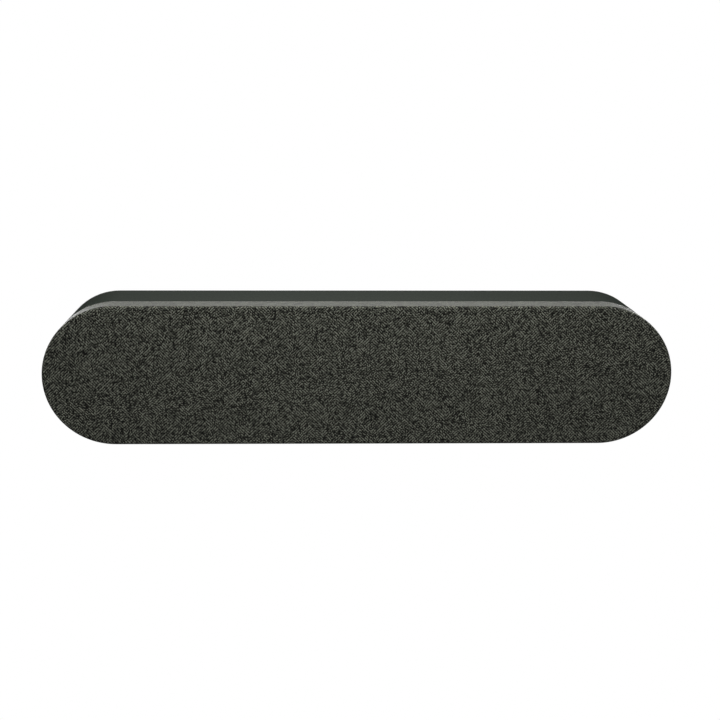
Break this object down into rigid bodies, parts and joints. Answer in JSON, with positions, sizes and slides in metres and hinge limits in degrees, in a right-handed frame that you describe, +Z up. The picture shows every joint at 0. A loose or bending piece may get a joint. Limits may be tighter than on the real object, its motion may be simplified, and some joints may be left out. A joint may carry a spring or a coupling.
{
  "type": "soundbar",
  "caption": "Compact pill-shaped soundbar with a woven cloth grille over the front and a tapered satin graphite housing, two wedge feet beneath and a recessed connector bay behind.",
  "frame": {"origin": "centre of the whole bar's bounding box on the surface that the feet stand on", "axes": "+X to the right seen from the front, +Y to the rear (the grille faces -Y), +Z up"},
  "size_m": [0.449, 0.0806, 0.1042],
  "materials": {
    "grille_cloth": "heathered olive-grey plain weave",
    "housing": "fine satin texture, graphite",
    "panel": "fine matt texture, black",
    "black_moulding": "matt black",
    "foam": "open-cell foam",
    "foot_rubber": "matt rubber",
    "surround_rubber": "smooth rubber",
    "insert_brass": "turned",
    "pressed_steel": "zinc-plated pressing",
    "pole_steel": "zinc-plated",
    "ferrite": "sintered ferrite",
    "cone": "coated paper",
    "coil": "enamelled copper wire",
    "spider_cloth": "phenolic cotton weave",
    "circuit_board": "solder mask",
    "component": "epoxy",
    "heat_sink": "extruded",
    "transformer": "taped winding",
    "capacitor": "sleeved can",
    "socket_shell": "nickel-plated",
    "button_cap": "fine satin texture, graphite",
    "clear_plastic": "clear",
    "zinc_screw": "zinc-plated",
    "black_screw": "black oxide",
    "lead_sheath": "soft sheath",
    "ribbon": "flat flexible cable"
  },
  "bodies": {
    "cabinet": {"grille_fabric": "grille_cloth", "grille_frame": "black_moulding", "front_baffle": "black_moulding", "baffle_gasket": "foam", "speaker_gaskets": "foam", "rear_housing": "housing", "rear_panel": "panel", "feet": "foot_rubber", "wall_mount_inserts": "insert_brass", "main_board": "circuit_board", "power_board": "circuit_board", "button_board": "circuit_board", "indicator_board": "circuit_board", "main_board_chips": "component", "button_switches": "component", "heat_sink": "heat_sink", "power_transformer": "transformer", "filter_capacitors": "capacitor", "mains_inlet": "black_moulding", "hdmi_socket": "socket_shell", "usb_socket": "socket_shell", "aux_socket": "black_moulding", "light_pipe": "clear_plastic", "baffle_screws": "zinc_screw", "speaker_screws": "zinc_screw", "panel_screws": "black_screw", "board_screws": "zinc_screw", "speaker_leads": "lead_sheath", "ribbon_cables": "ribbon", "damping_pads": "foam", "left_driver_basket": "pressed_steel", "left_driver_surround": "surround_rubber", "left_driver_spider": "spider_cloth", "left_driver_top_plate": "pole_steel", "left_driver_magnet": "ferrite", "left_driver_yoke": "pole_steel", "left_radiator_frame": "black_moulding", "left_radiator_surround": "surround_rubber", "right_driver_basket": "pressed_steel", "right_driver_surround": "surround_rubber", "right_driver_spider": "spider_cloth", "right_driver_top_plate": "pole_steel", "right_driver_magnet": "ferrite", "right_driver_yoke": "pole_steel", "right_radiator_frame": "black_moulding", "right_radiator_surround": "surround_rubber"},
    "left_driver_moving_parts": {"left_driver_cone": "cone", "left_driver_dust_cap": "cone", "left_driver_voice_coil": "coil"},
    "left_radiator_piston": {"left_radiator_diaphragm": "cone", "left_radiator_weight": "pole_steel"},
    "right_driver_moving_parts": {"right_driver_cone": "cone", "right_driver_dust_cap": "cone", "right_driver_voice_coil": "coil"},
    "right_radiator_piston": {"right_radiator_diaphragm": "cone", "right_radiator_weight": "pole_steel"},
    "power_button": {"power_button": "button_cap"},
    "source_button": {"source_button": "button_cap"},
    "volume_down_button": {"volume_down_button": "button_cap"},
    "volume_up_button": {"volume_up_button": "button_cap"}
  },
  "joints": [
    {"name": "left_driver_stroke", "type": "slide", "parent": "cabinet", "child": "left_driver_moving_parts", "axis": [0, -1, 0], "range_m": [-0.0025, 0.0025], "stiffness_N_per_m": 1200, "deforming": ["left_driver_surround", "left_driver_spider"]},
    {"name": "left_radiator_stroke", "type": "slide", "parent": "cabinet", "child": "left_radiator_piston", "axis": [0, -1, 0], "range_m": [-0.0035, 0.0035], "stiffness_N_per_m": 700, "deforming": ["left_radiator_surround"]},
    {"name": "right_driver_stroke", "type": "slide", "parent": "cabinet", "child": "right_driver_moving_parts", "axis": [0, -1, 0], "range_m": [-0.0025, 0.0025], "stiffness_N_per_m": 1200, "deforming": ["right_driver_surround", "right_driver_spider"]},
    {"name": "right_radiator_stroke", "type": "slide", "parent": "cabinet", "child": "right_radiator_piston", "axis": [0, -1, 0], "range_m": [-0.0035, 0.0035], "stiffness_N_per_m": 700, "deforming": ["right_radiator_surround"]},
    {"name": "power_button_press", "type": "slide", "parent": "cabinet", "child": "power_button", "axis": [0, -1, 0], "range_m": [0, 0.0008], "stiffness_N_per_m": 1500, "springref_m": -0.0007},
    {"name": "source_button_press", "type": "slide", "parent": "cabinet", "child": "source_button", "axis": [0, -1, 0], "range_m": [0, 0.0008], "stiffness_N_per_m": 1500, "springref_m": -0.0007},
    {"name": "volume_down_button_press", "type": "slide", "parent": "cabinet", "child": "volume_down_button", "axis": [0, -1, 0], "range_m": [0, 0.0008], "stiffness_N_per_m": 1500, "springref_m": -0.0007},
    {"name": "volume_up_button_press", "type": "slide", "parent": "cabinet", "child": "volume_up_button", "axis": [0, -1, 0], "range_m": [0, 0.0008], "stiffness_N_per_m": 1500, "springref_m": -0.0007}
  ]
}
